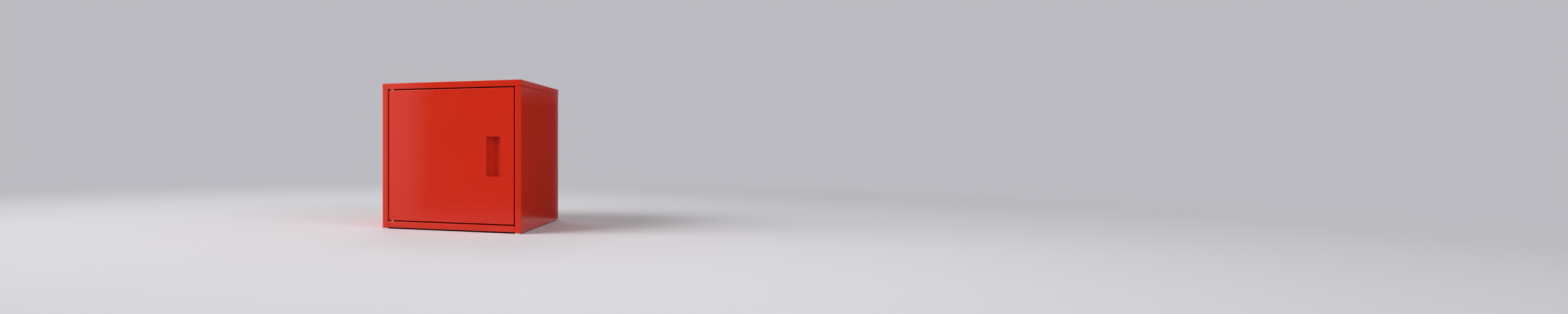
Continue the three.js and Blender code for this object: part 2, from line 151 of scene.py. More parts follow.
class FittingSizes(bpy.types.PropertyGroup):
    """Sizes of the pins, screws, rivets, catch, bumpers and feet."""
    lid_screw: length("Lid screw", "Radius of a lid screw's shank", 2.4)
    rivet: length("Rivet", "Radius of a rivet's shank", 2.0)
    foot: length("Foot stem", "Radius of a foot's stem", 2.5)
    pivot_pin: length("Pivot tip", "Radius of a pivot pin's tip, which turns in the carcass", 2.1)
    door_bumper: length("Bumper stem", "Radius of a door bumper's stem", 1.6)
    catch_screw: length("Catch screw", "Radius of a catch screw's shank", 1.1)
    clearance: length("Clearance", "From a shank to its hole", 0.12)
    pin_barrel: length("Pivot barrel", "Radius of a pivot pin's barrel, in the door's hole", 2.9)
    pin_head: length("Pivot head", "Height of a pivot pin's head", 1.5)
    screw_head: length("Lid screw head", "Height of a lid screw's head", 2.8)
    hex_socket: length("Hex socket", "Radius of a lid screw's hex socket to its corners", 1.6)
    hex_depth: length("Hex depth", "Depth of a lid screw's hex socket", 1.6)
    rivet_head: length("Rivet head", "Height of a rivet's head", 1.1)
    rivet_tail: length("Rivet tail", "Height of a rivet's set tail", 3.0)
    mandrel: length("Mandrel hole", "Radius of the hole that is left in a rivet's head", 0.75)
    mandrel_depth: length("Mandrel depth", "Depth of the hole in a rivet's head", 0.35)
    catch_head: length("Catch screw head", "Height of a catch screw's head", 1.0)
    cross_reach: length("Cross reach", "From a cross recess's middle to the end of an arm", 1.2)
    cross_arm: length("Cross arm", "Half the width of a cross recess's arm", 0.28)
    cross_depth: length("Cross depth", "Depth of a cross recess", 0.6)
    magnet_gap: length("Magnet gap", "From the catch's magnet to its housing", 0.1)
    foot_corner: length("Foot corner", "Radius of a foot pad's upright corners", 2.0)
    foot_slot: length("Foot slot", "Half the width of the slot across a foot's stem", 0.4)
    foot_root: length("Foot root", "Height of the stem's part below its slot", 1.2)
    pad_gap: length("Pad gap", "From a foot pad or a bumper to the sheet behind it", 0.1)
    moulded_edge: length("Moulded edge", "Rounding of a moulded edge", 0.4)


class Finishes(bpy.types.PropertyGroup):
    """Colours and gloss of the cabinet's finishes."""
    coat: colour("Coat", "Colour of the powder coat", 209, 38, 8)
    coat_gloss: share("Coat roughness", "Roughness of the powder coat", 0.2)
    nylon: colour("Nylon", "Colour of the pivot pins and feet", 244, 243, 240)
    plastic: colour("Plastic", "Colour of the catch's housing", 222, 220, 213)
    rubber: colour("Rubber", "Colour of the door bumpers", 40, 40, 41)
    zinc: colour("Zinc", "Colour of the plated fasteners", 196, 199, 202)
    ferrite: colour("Ferrite", "Colour of the catch's magnet", 62, 60, 59)


class StageSettings(bpy.types.PropertyGroup):
    """The camera, the floor, the backdrop and the soft light from all round."""
    eye: FloatVectorProperty(name="Eye", description="Place of the camera", size=3,
                             subtype="TRANSLATION", unit="LENGTH", default=(0.6685, -1.8390, 0.2024))
    turn: FloatProperty(name="Turn", description="Turn of the level camera to the left",
                        subtype="ANGLE", default=math.radians(20.319))
    lens: FloatProperty(name="Lens", description="Focal length in millimetres", default=17.603,
                        unit="CAMERA")
    sensor: FloatProperty(name="Sensor", description="Width of the film in millimetres", default=36.0,
                          unit="CAMERA")
    shift_x: FloatProperty(name="Shift X", description="Sideways shift, as a share of the frame",
                           default=0.2)
    shift_y: FloatProperty(name="Shift Y", description="Upward shift, as a share of the frame",
                           default=-0.00786)
    floor: colour("Floor", "Colour of the floor near the cabinet", 225, 224, 228)
    backdrop: colour("Backdrop", "Colour of the far floor and the backdrop", 187, 187, 193)
    floor_reach: length("Floor reach", "Radius of the floor", 9000.0)
    fade_start: length("Fade start", "Radius at which the floor begins to fade", 600.0)
    fade_end: length("Fade end", "Radius at which only the backdrop's colour is left", 2600.0)
    ambient: share("Ambient", "Strength of the soft light from all round", 0.1)


# Outlines in a plane

def arc(centre, radius, start, turn, steps):
    """Points of an arc, both ends included."""
    angles = [start + turn * i / steps for i in range(steps + 1)]
    return [centre + radius * Vector((math.cos(a), math.sin(a))) for a in angles]


def folded(corners, sizes):
    """The closed outline of a folded sheet. The corners are those of one face, and the sheet lies on
    the right of the way that they run. Its two cut ends are rounded."""
    points = [Vector(corner) for corner in corners]
    runs = [(b - a).normalized() for a, b in zip(points, points[1:])]
    rights = [Vector((run.y, -run.x)) for run in runs]
    face, back = [], []
    for point, before, after in zip(points[1:], runs, runs[1:]):
        turn = before.angle_signed(after) * -1
        side = math.copysign(1, turn)
        radius = sizes.bend if turn > 0 else sizes.bend + sizes.sheet
        right = Vector((before.y, -before.x))
        centre = point - before * radius * math.tan(abs(turn) / 2) - right * side * radius
        for step in range(sizes.bend_steps + 1):
            across = Matrix.Rotation(turn * step / sizes.bend_steps, 2) @ right
            face.append(centre + across * side * radius)
            back.append(face[-1] + across * sizes.sheet)
    start = cut_end(points[0], runs[0], rights[0], sizes)
    end = cut_end(points[-1], -runs[-1], rights[-1], sizes)
    return start[::-1] + face + end + back[::-1]


def cut_end(point, inward, right, sizes):
    """The rounded end of a sheet, from the face that the point lies on to its back."""
    soft = sizes.raw_edge
    near = point + (inward + right) * soft
    far = point + inward * soft + right * (sizes.sheet - soft)
    angles = (0, math.pi / 4, math.pi / 2)
    first = [near - inward * soft * math.sin(a) - right * soft * math.cos(a) for a in angles]
    second = [far - inward * soft * math.cos(a) + right * soft * math.sin(a) for a in angles]
    return first + second


def rounded(low, high, radii, steps):
    """A rectangle between two corners. The radii are those of its lower left, lower right, upper right
    and upper left corners."""
    places = [(low[0], low[1], 1, 1, math.pi), (high[0], low[1], -1, 1, 1.5 * math.pi),
              (high[0], high[1], -1, -1, 0), (low[0], high[1], 1, -1, math.pi / 2)]
    outline = []
    for (x, y, inward_x, inward_y, start), radius in zip(places, radii):
        if radius:
            centre = Vector((x + inward_x * radius, y + inward_y * radius))
            outline += arc(centre, radius, start, math.pi / 2, steps)
        else:
            outline.append(Vector((x, y)))
    return outline


def circle(radius, steps):
    """Points round the origin."""
    return [radius * Vector((math.cos(a), math.sin(a)))
            for a in (math.tau * i / steps for i in range(steps))]


def quarter(steps):
    """Angles from 0 to 90 degrees, both included."""
    return [math.pi / 2 * i / steps for i in range(steps + 1)]


def inset(outline, amount):
    """An outline moved inwards, corner by corner."""
    area = sum(a.cross(b) for a, b in zip(outline, outline[1:] + outline[:1]))
    inward = math.copysign(1, area)
    inner = []
    for before, point, after in zip(outline[-1:] + outline, outline, outline[1:] + outline[:1]):
        first = (point - before).normalized()
        second = (after - point).normalized()
        normal = Vector((-(first + second).y, (first + second).x)).normalized()
        lean = max(SHARPEST_LEAN, normal.dot(Vector((-first.y, first.x))))
        inner.append(point + normal * inward * amount / lean)
    return inner


# How the plane of an outline, and its height, lie in the cabinet's frame
UPRIGHT = Matrix(((1, 0, 0), (0, 1, 0), (0, 0, 1)))
ALONG_X = Matrix(((0, 0, 1), (1, 0, 0), (0, 1, 0)))
ALONG_Y = Matrix(((1, 0, 0), (0, 0, 1), (0, 1, 0)))

# Sharper corners than this are moved inwards as if they were no sharper
SHARPEST_LEAN = 0.5

# How a rounded edge runs in and up, as shares of its radius
SOFT_EDGE_SHARES = ((0.7, 0.0), (0.25, 0.3), (0.0, 1.0))

# How a spot weld's dimple runs from its flat bottom out through the face, as shares of radius and depth
DIMPLE_SHARES = ((0.5, 1.0), (0.68, 0.86), (0.84, 0.45), (1.0, 0.0), (1.1, -0.3))

# Faces round a spot weld's dimple, the mouth of a hex socket, the cone that dulls a nut's corners and
# the floor, and steps across the handle opening's edge and a bumper's dome
DIMPLE_STEPS, SOCKET_STEPS, NUT_STEPS, FLOOR_STEPS = 24, 36, 96, 128
PUNCH_STEPS, DOME_STEPS = 5, 12

# How a thread's ridge runs up from its root to its crest, as shares of its pitch
THREAD_ROOT, THREAD_CREST, THREAD_CREST_END = 0.1, 0.5, 0.65

# Edges that turn by more than this stay sharp, and large faces lead the shading beside small ones
SHARP = math.radians(32)
LARGE_FACES_LEAD = 80

# How far a cutter reaches past the face that it cuts
OVERRUN = 1.0 * MM

# Points nearer to each other than this are one point
DOUBLED = 1e-7


def eased(points, steps=4):
    """A profile whose corners are rounded. Each point is [radius, rise] or [radius, rise, rounding]."""
    flat = [Vector(point[:2]) for point in points]
    profile = []
    for i, (point, given) in enumerate(zip(flat, points)):
        if len(given) == 2:
            profile.append(point)
            continue
        before = (flat[i - 1] - point).normalized()
        after = (flat[i + 1] - point).normalized()
        half = before.angle(after) / 2
        centre = point + (before + after).normalized() * given[2] / math.sin(half)
        start = point + before * given[2] / math.tan(half) - centre
        turn = -start.angle_signed(point + after * given[2] / math.tan(half) - centre)
        profile += [centre + Matrix.Rotation(turn * step / steps, 2) @ start
                    for step in range(steps + 1)]
    return [tuple(point) for point in profile]


# Closed meshes

def skin(rings):
    """A closed mesh through rings of points. A ring of one point is a tip, and the first and the last
    ring are filled."""
    shape = bmesh.new()
    rows = [[shape.verts.new(point) for point in ring] for ring in rings]
    for low, high in zip(rows, rows[1:]):
        count = max(len(low), len(high))
        for i in range(count):
            j = (i + 1) % count
            corners = (low[i % len(low)], low[j % len(low)], high[j % len(high)], high[i % len(high)])
            shape.faces.new(dict.fromkeys(corners))
    for row in (rows[0], rows[-1]):
        if len(row) > 1:
            shape.faces.new(row)
    bmesh.ops.recalc_face_normals(shape, faces=shape.faces)
    mesh = bpy.data.meshes.new("shape")
    shape.to_mesh(mesh)
    shape.free()
    return mesh


def prism(outline, low, high, way=UPRIGHT, soft=0.0):
    """An outline raised between two heights, with rounded edges at its ends if soft is given."""
    levels = [(0.0, low), (0.0, high)]
    if soft:
        levels = [(soft * a, low + soft * b) for a, b in SOFT_EDGE_SHARES]
        levels += [(soft * a, high - soft * b) for a, b in reversed(SOFT_EDGE_SHARES)]
    return skin([[way @ Vector((point.x, point.y, level)) for point in inset(outline, amount)]
                 for amount, level in levels])


def block(low, high):
    """A sharp-edged block between two corners, used as a cutter."""
    return prism(rounded(low, high, (0, 0, 0, 0), 1), low[2], high[2])


def turned(x, y, z, profile, steps, way=UPRIGHT):
    """A turned piece, from [radius, height] points that start and end on its axis."""
    return skin([[way @ Vector((0, 0, rise)) + Vector((x, y, z))] if radius == 0 else
                 [way @ Vector((point.x, point.y, rise)) + Vector((x, y, z))
                  for point in circle(radius, steps)]
                 for radius, rise in profile])


def drill(x, y, low, high, radius, sizes, way=UPRIGHT, soft=None):
    """A round cutter between two faces, which rounds the hole's edges and runs out through them."""
    soft = sizes.raw_edge if soft is None else soft
    flare = [(radius + soft * 1.7, soft * -0.3), (radius + soft * 0.3, soft * 0.3), (radius, soft)]
    profile = [(0, low + flare[0][1])] + [(r, low + rise) for r, rise in flare]
    profile += [(r, high - rise) for r, rise in reversed(flare)] + [(0, high - flare[0][1])]
    foot = (x, y, 0) if way is UPRIGHT else (x, 0, y)
    return turned(*foot, profile, sizes.round_steps, way)


def pan(size_x, size_y, depth, lip, sizes):
    """A folded pan, centred in X and Y. Its closed face lies on Z = 0, its flanges rise along +Z and
    end in returned lips with slits between them."""
    outer = sizes.bend + sizes.sheet
    edge = sizes.raw_edge

    def bent(rise, radius, start, turn):
        return [(p.x, p.y) for p in arc(Vector((outer, rise)), radius, start, turn, sizes.bend_steps)]

    path = bent(outer, outer, 1.5 * math.pi, -math.pi / 2)
    path += bent(depth - outer, outer, math.pi, -math.pi / 2)
    back = depth - sizes.sheet
    path += [(lip - edge, depth), (lip, depth - edge), (lip, back + edge), (lip - edge, back)]
    path += bent(depth - outer, sizes.bend, math.pi / 2, math.pi / 2)
    path += bent(outer, sizes.bend, math.pi, math.pi / 2)
    rings = []
    for amount, rise in path:
        radius = max(sizes.corner - amount, sizes.mouth_corner)
        half = Vector((size_x / 2 - amount, size_y / 2 - amount))
        rings.append([(p.x, p.y, rise) for p in rounded(-half, half, [radius] * 4, sizes.bend_steps)])
    slits = mitre_slits(size_x / 2, size_y / 2, lip, depth - 2 * sizes.sheet, depth + OVERRUN, sizes)
    return cut(skin(rings), *slits)


def mitre_slits(half_x, half_y, lip, low, high, sizes):
    """Cutters for the slits on the diagonals where a pan's returned lips meet."""
    reach = (lip - sizes.bend - sizes.sheet) * math.sqrt(2)
    slits = []
    for side_x in (-1, 1):
        for side_y in (-1, 1):
            slit = block((-OVERRUN, -sizes.mitre / 2, low), (reach, sizes.mitre / 2, high))
            turn = Matrix.Rotation(math.atan2(side_y, side_x), 4, "Z")
            inner = Vector((side_x * (half_x - lip), side_y * (half_y - lip), 0))
            slits.append(moved(slit, Matrix.Translation(inner) @ turn))
    return slits


def mirrored(mesh):
    """A copy on the other side of the cabinet."""
    copy = mesh.copy()
    copy.transform(Matrix.Scale(-1, 4, (1, 0, 0)))
    copy.flip_normals()
    return copy


def moved(mesh, matrix):
    """The mesh itself, placed anew."""
    mesh.transform(matrix)
    return mesh


def combine(operation, mesh, tools):
    """A closed mesh with others joined to it, by UNION, cut out of it, by DIFFERENCE, or kept as far as
    they overlap it, by INTERSECT."""
    objects = bpy.context.scene.collection.objects
    whole = bpy.data.objects.new("whole", mesh)
    objects.link(whole)
    helpers = [bpy.data.objects.new("helper", tool) for tool in tools]
    for helper in helpers:
        objects.link(helper)
        step = whole.modifiers.new(operation, "BOOLEAN")
        step.operation = operation
        step.solver = "MANIFOLD"
        step.object = helper
    bpy.context.view_layer.update()
    graph = bpy.context.evaluated_depsgraph_get()
    result = bpy.data.meshes.new_from_object(whole.evaluated_get(graph))
    for done in [whole, *helpers]:
        bpy.data.objects.remove(done)
    return result


def join(mesh, *tools):
    """The mesh with others joined to it."""
    return combine("UNION", mesh, tools)


def cut(mesh, *tools):
    """The mesh with others cut out of it."""
    return combine("DIFFERENCE", mesh, tools)


def tidy(mesh, name):
    """Merges doubled points, and raises an error if the mesh isn't closed."""
    shape = bmesh.new()
    shape.from_mesh(mesh)
    bmesh.ops.remove_doubles(shape, verts=shape.verts, dist=DOUBLED)
    bmesh.ops.dissolve_degenerate(shape, edges=shape.edges, dist=DOUBLED)
    open_edges = sum(not edge.is_manifold for edge in shape.edges)
    shape.to_mesh(mesh)
    shape.free()
    if open_edges:
        raise RuntimeError(f"{name} has {open_edges} edges that don't join two faces")
    return mesh


def show(name, mesh, nodes, body, slot):
    """Makes a mesh a piece of the cabinet that stands for CAD nodes and moves with a body."""
    piece = bpy.data.objects.new(name, tidy(mesh, name))
    bpy.context.scene.collection.objects.link(piece)
    mesh.name = name
    mesh.materials.clear()
    mesh.materials.append(finish(slot))
    mesh.shade_smooth()
    mesh.set_sharp_from_angle(angle=SHARP)
    weighted = piece.modifiers.new("Weighted normals", "WEIGHTED_NORMAL")
    weighted.keep_sharp = True
    weighted.weight = LARGE_FACES_LEAD
    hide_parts(*nodes)
    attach(piece, body)


# Shader maths

class Signal:
    """A shader socket that takes part in Python arithmetic as a number."""

    def __init__(self, shader, socket):
        self.shader = shader
        self.socket = socket

    def __add__(self, other):
        return self.shader.math("ADD", self, other)

    def __radd__(self, other):
        return self.shader.math("ADD", other, self)

    def __sub__(self, other):
        return self.shader.math("SUBTRACT", self, other)

    def __mul__(self, other):
        return self.shader.math("MULTIPLY", self, other)


class Shader:
    """A material's or the world's node tree, written as calls."""

    def __init__(self, owner):
        owner.use_nodes = True
        self.tree = owner.node_tree
        self.tree.nodes.clear()

    def node(self, kind, settings=None, sockets=None):
        """Adds one node: its settings first, then the values or links of its sockets."""
        made = self.tree.nodes.new(kind)
        for name, value in (settings or {}).items():
            setattr(made, name, value)
        for name, value in (sockets or {}).items():
            socket = made.inputs[name]
            if isinstance(value, Signal):
                self.tree.links.new(value.socket, socket)
            else:
                opaque = socket.type == "RGBA" and len(value) == 3
                socket.default_value = (*value, 1) if opaque else value
        return made

    def signal(self, kind, output, settings=None, sockets=None):
        """Adds one node and gives the output of that name or number."""
        return Signal(self, self.node(kind, settings, sockets).outputs[output])

    def math(self, operation, *values):
        return self.signal("ShaderNodeMath", 0, {"operation": operation}, dict(enumerate(values)))

    def vector(self, operation, *values):
        return self.signal("ShaderNodeVectorMath", 0, {"operation": operation}, dict(enumerate(values)))

    def measure(self, operation, *values):
        """Vector maths whose result is a number, such as a length or a dot product."""
        return self.signal("ShaderNodeVectorMath", "Value", {"operation": operation},
                           dict(enumerate(values)))

    def place(self):
        """Where a point lies in the piece's own space, in metres."""
        return self.signal("ShaderNodeTexCoord", "Object")

    def noise(self, place, scale, detail):
        """Cloudy values from 0 to 1. The scale is how many clouds fit in a metre."""
        return self.signal("ShaderNodeTexNoise", "Fac", None,
                           {"Vector": place, "Scale": scale, "Detail": detail})

    def fade(self, value, low, high):
        """0 below low and 1 above high, with a smooth run between them."""
        return self.signal("ShaderNodeMapRange", "Result", {"interpolation_type": "SMOOTHSTEP"},
                           {"Value": value, "From Min": low, "From Max": high})

    def blend(self, factor, first, second):
        """A colour between two colours."""
        return self.signal("ShaderNodeMix", 2, {"data_type": "RGBA"}, {0: factor, 6: first, 7: second})

    def bump(self, height, distance):
        """A surface that a height from 0 to 1 raises by up to a distance in metres."""
        return self.signal("ShaderNodeBump", "Normal", None, {"Height": height, "Distance": distance})

    def principled(self, sockets):
        return self.signal("ShaderNodeBsdfPrincipled", 0, None, sockets)

    def between(self, factor, first, second):
        """One surface where the factor is 0, and the other where it is 1."""
        return self.signal("ShaderNodeMixShader", 0, None, {0: factor, 1: first, 2: second})

    def output(self, surface, kind="ShaderNodeOutputMaterial"):
        self.node(kind, None, {"Surface": surface})


def scaled(tone, amount):
    """A darker or lighter shade of a colour."""
    return tuple(channel * amount for channel in tone)


def powder_coat(shader, place, tones):
    """Smooth glossy powder coat: a faint orange peel, fine pigment grain and slow changes of gloss."""
    cloud = shader.noise(place, 11.0, 2.0)
    peel = shader.noise(place, 430.0, 1.0)
    grain = shader.noise(place, 2600.0, 2.0)
    mottle = cloud * 0.7 + grain * 0.3
    return {"Base Color": shader.blend(mottle, scaled(tones.coat, 0.95), scaled(tones.coat, 1.04)),
            "Roughness": tones.coat_gloss + (cloud - 0.5) * 0.05 + (grain - 0.5) * 0.05,
            "Normal": shader.bump(peel + grain * 0.08, 0.022 * MM),
            "IOR": 1.5}


def white_nylon(shader, place, tones):
    """Moulded nylon: slightly mottled, with a fine eroded texture."""
    cloud = shader.noise(place, 140.0, 3.0)
    grain = shader.noise(place, 3200.0, 2.0)
    return {"Base Color": shader.blend(cloud, scaled(tones.nylon, 0.93), tones.nylon),
            "Roughness": 0.42 + (grain - 0.5) * 0.16,
            "Normal": shader.bump(grain, 0.02 * MM),
            "Subsurface Weight": 0.15, "Subsurface Scale": 0.8 * MM}


def catch_plastic(shader, place, tones):
    """Moulded plastic of the catch: off-white, with a soft satin texture."""
    cloud = shader.noise(place, 90.0, 3.0)
    grain = shader.noise(place, 2200.0, 3.0)
    return {"Base Color": shader.blend(cloud, scaled(tones.plastic, 0.92), tones.plastic),
            "Roughness": 0.5 + (grain - 0.5) * 0.2,
            "Normal": shader.bump(grain, 0.03 * MM)}


def rubber(shader, place, tones):
    """Soft black rubber with a dusty bloom."""
    bloom = shader.noise(place, 260.0, 4.0)
    grain = shader.noise(place, 1900.0, 3.0)
    dust = shader.fade(bloom, 0.35, 0.75)
    return {"Base Color": shader.blend(dust, tones.rubber, scaled(tones.rubber, 2.2)),
            "Roughness": 0.74 + (bloom - 0.5) * 0.2,
            "Normal": shader.bump(grain, 0.06 * MM)}


def zinc_steel(shader, place, tones):
    """Bright zinc plating: cloudy passivation over drawn steel."""
    cloud = shader.noise(place, 420.0, 4.0)
    tarnish = shader.noise(place, 150.0, 2.0)
    warm = tuple(channel * part for channel, part in zip(tones.zinc, (0.93, 0.9, 0.8)))
    return {"Base Color": shader.blend(shader.fade(tarnish, 0.45, 0.7), tones.zinc, warm),
            "Metallic": 1.0,
            "Roughness": 0.24 + cloud * 0.2,
            "Normal": shader.bump(cloud, 0.02 * MM)}


def ferrite(shader, place, tones):
    """Sintered ferrite: dark, slightly metallic, with grinding marks along its length."""
    marks = shader.noise(shader.vector("MULTIPLY", place, (1.0, 1.0, 0.04)), 5200.0, 2.0)
    grain = shader.noise(place, 1500.0, 4.0)
    dull, bright = scaled(tones.ferrite, 0.75), scaled(tones.ferrite, 1.25)
    return {"Base Color": shader.blend(grain, dull, bright),
            "Metallic": 0.35,
            "Roughness": 0.42 + marks * 0.25,
            "Normal": shader.bump(marks, 0.01 * MM)}


# Each slot's material, by its name and the function that gives its inputs
FINISHES = {
    "powder_coat": ("Powder coat", powder_coat),
    "white_nylon": ("White nylon", white_nylon),
    "catch_plastic": ("Catch plastic", catch_plastic),
    "rubber": ("Soft rubber", rubber),
    "zinc_steel": ("Zinc plating", zinc_steel),
    "magnet": ("Ferrite", ferrite),
}


def finish(slot):
    """The material of a slot, made when it is first asked for."""
    name, make = FINISHES[slot]
    found = bpy.data.materials.get(name)
    if found is None:
        found = bpy.data.materials.new(name)
        shader = Shader(found)
        inputs = make(shader, shader.place(), bpy.context.scene.cabinet_finishes)
        shader.output(shader.principled(inputs))
    return found


CORNERS = [f"{end}_{hand}" for hand in ("left", "right") for end in ("front", "rear")]
LEVELS = ("lower", "upper")

# The kinds of fastener whose shank needs a hole, as their nodes and FittingSizes name them
SHANKS = ("lid_screw", "rivet", "foot", "pivot_pin", "door_bumper", "catch_screw")


def groups(*names):
    """The scene's property groups of those names, such as sheet or door."""
    return [getattr(bpy.context.scene, f"cabinet_{name}") for name in names]


def each(places, kind):
    """One kind of fitting, place by place: its CAD node, its box, its middle and half its width."""
    for place in places:
        node = f"{place}_{kind}"
        low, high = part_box(node)
        yield node, low, high, middle(node), (high.x - low.x) / 2


def middle(node):
    """The middle of a CAD node's box."""
    low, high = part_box(node)
    return (low + high) / 2


def dimple(x, z, face, carcass):
    """A shallow lens that presses a spot weld's mark into a face that looks along +Y."""
    radius, depth = carcass.weld_radius, carcass.weld_depth
    profile = [(0, -depth)] + [(radius * across, -depth * down) for across, down in DIMPLE_SHARES]
    profile.append((0, profile[-1][1]))
    return turned(x, face, z, profile, DIMPLE_STEPS, ALONG_Y)


def weld_rows(low, high, spacing):
    """Heights of a row of spot welds, evenly spaced between two ends."""
    count = max(2, round((high - low) / spacing))
    return [low + (high - low) * (i + 0.5) / count for i in range(count)]


class BuildLid(bpy.types.Operator):
    """Build the lid: a shallow pan turned upside down"""
    bl_idname = "cabinet.lid"
    bl_label = "Lid"

    def execute(self, context):
        sizes, carcass = groups("sheet", "carcass")
        size = lid_high - lid_low
        shell = pan(size.x, size.y, size.z, carcass.lid_return, sizes)
        shell = moved(shell, Matrix.Translation((0, 0, lid_high.z)) @ Matrix.Rotation(math.pi, 4, "X"))
        top = lid_low.z + sizes.sheet
        holes = [hole_for(f"{corner}_lid_screw", lid_low.z, top, sizes) for corner in CORNERS]
        holes.append(hole_for("upper_pivot_pin", lid_low.z, top, sizes))
        show("lid_sheet", cut(shell, *holes), ["lid"], "carcass", "powder_coat")
        return {"FINISHED"}


def hole_for(node, low, high, sizes, way=UPRIGHT):
    """The cutter for a fastener's hole, placed by the fastener's CAD node."""
    fittings = bpy.context.scene.cabinet_fittings
    at = middle(node)
    kind = next(name for name in SHANKS if node.endswith(name))
    radius = getattr(fittings, kind) + fittings.clearance
    return drill(at.x, at.y if way is UPRIGHT else at.z, low, high, radius, sizes, way)


class BuildSidePanels(bpy.types.Operator):
    """Build the two side panels, whose front flanges return inwards to the door stops"""
    bl_idname = "cabinet.side_panels"
    bl_label = "Side panels"

    def execute(self, context):
        sizes, carcass = groups("sheet", "carcass")
        right = side_high.x
        front, rear = side_low.y, side_high.y
        low, high = side_low.z, side_high.z
        opening = right - carcass.stile
        stop = front + carcass.stop_depth - sizes.sheet
        upright = folded([(opening, rear), (right, rear), (right, front), (opening, front),
                          (opening, stop), (side_low.x, stop)], sizes)
        panel = prism(upright, low, high, UPRIGHT, sizes.raw_edge)

        # The top and bottom flanges fold in from the web between two relief notches
        outer = sizes.bend + sizes.sheet
        start = front + outer + sizes.relief
        end = back_plate_front() - sizes.seam
        leg = 3 * outer
        slots, flanges = [], []
        for z, way in ((low, 1), (high, -1)):
            inner = z + way * leg
            foot, top = sorted((z - way * OVERRUN, inner))
            slots.append(block((right - 2 * sizes.sheet, start - sizes.relief, foot),
                               (right + OVERRUN, end + sizes.relief, top)))
            corners = [(opening + sizes.sheet / 2, z), (right, z), (right, inner + way * OVERRUN)]
            if way > 0:
                corners.reverse()
            flanges.append(prism(folded(corners, sizes), start, end, ALONG_Y, sizes.raw_edge))
        shadow = block((side_low.x - OVERRUN, stop - OVERRUN, low - OVERRUN),
                       (opening, stop + sizes.sheet + OVERRUN, tray_high.z + sizes.seam))
        panel = join(cut(panel, shadow, *slots), *flanges)

        rows = weld_rows(low + 3 * leg, high - 3 * leg, carcass.weld_spacing)
        spans = (("lid_screw", high - sizes.sheet, high), ("rivet", low, low + sizes.sheet),
                 ("foot", low, low + sizes.sheet))
        for hand in ("left", "right"):
            side = panel.copy() if hand == "right" else mirrored(panel)
            holes = [hole_for(f"{end_name}_{hand}_{kind}", *span, sizes)
                     for end_name in ("front", "rear") for kind, *span in spans]
            if hand == "right":
                holes += [hole_for(f"{level}_{kind}", stop, stop + sizes.sheet, sizes, ALONG_Y)
                          for kind in ("door_bumper", "catch_screw") for level in LEVELS]
            marks = [dimple(middle(f"rear_{hand}_rivet").x, z, rear, carcass) for z in rows]
            show(f"{hand}_side_sheet", cut(side, *holes, *marks), [f"{hand}_side_panel"],
                 "carcass", "powder_coat")
        return {"FINISHED"}


def back_plate_front():
    """The front of the back panel's plate, behind its top flange."""
    return back_high.y - bpy.context.scene.cabinet_sheet.sheet


class BuildBottomTray(bpy.types.Operator):
    """Build the bottom tray, the cabinet's floor, whose front flange is the rail under the door"""
    bl_idname = "cabinet.bottom_tray"
    bl_label = "Bottom tray"

    def execute(self, context):
        sizes, carcass = groups("sheet", "carcass")
        outer = sizes.bend + sizes.sheet
        wide = tray_high.x
        narrow = side_high.x - carcass.stile - sizes.seam
        front, rear = tray_low.y, tray_high.y
        low, high = tray_low.z, tray_high.z
        shoulder = side_low.y + carcass.stop_depth + carcass.shoulder_gap

        def solid(grow, soft):
            """The tray as a full body, or its inside where grow is negative."""
            radius = outer + grow
            whole = rounded((front - grow, low - grow), (rear + grow, high + grow),
                            [radius] * 4, sizes.bend_steps)
            behind = rounded((shoulder - grow, low - grow), (rear + grow, high + grow),
                             [0, radius, radius, 0], sizes.bend_steps)
            return join(prism(whole, -narrow - grow, narrow + grow, ALONG_X, soft),
                        prism(behind, -wide - grow, wide + grow, ALONG_X, soft))

        lip = carcass.tray_return
        mouth = rounded((lip - narrow, front + lip), (narrow - lip, rear - lip),
                        [sizes.corner] * 4, sizes.bend_steps)
        opening = prism(mouth, low - OVERRUN, low + sizes.sheet + OVERRUN)
        holes = [hole_for("lower_pivot_pin", high - sizes.sheet, high, sizes)]
        for corner in CORNERS:
            holes.append(hole_for(f"{corner}_rivet", low, low + sizes.sheet, sizes))
            if corner.startswith("rear"):
                holes.append(hole_for(f"{corner}_foot", low, low + sizes.sheet, sizes))
        tray = cut(solid(0.0, sizes.raw_edge), solid(-sizes.sheet, 0.0), opening, *holes)
        show("bottom_tray_sheet", tray, ["bottom_tray"], "carcass", "powder_coat")
        return {"FINISHED"}


class BuildBackPanel(bpy.types.Operator):
    """Build the back panel, a plate whose top folds forward under the lid"""
    bl_idname = "cabinet.back_panel"
    bl_label = "Back panel"

    def execute(self, context):
        sizes, carcass = groups("sheet", "carcass")
        outer = sizes.bend + sizes.sheet
        narrow = side_high.x - carcass.stile - sizes.seam
        face, low, high = back_plate_front(), back_low.z, back_high.z
        section = folded([(back_low.y, high), (back_high.y, high), (back_high.y, low)], sizes)
        folded_part = prism(section, -narrow, narrow, ALONG_X, sizes.raw_edge)
        plate = prism(rounded((back_low.x, low), (back_high.x, high - outer), [sizes.raw_edge] * 4, 2),
                      face, back_high.y, ALONG_Y, sizes.raw_edge)
        marks = [dimple(x, middle("bottom_tray").z, back_high.y, carcass)
                 for x in weld_rows(-narrow, narrow, carcass.weld_spacing)]
        panel = cut(join(folded_part, plate), *marks)
        show("back_sheet", panel, ["back_panel"], "carcass", "powder_coat")
        return {"FINISHED"}


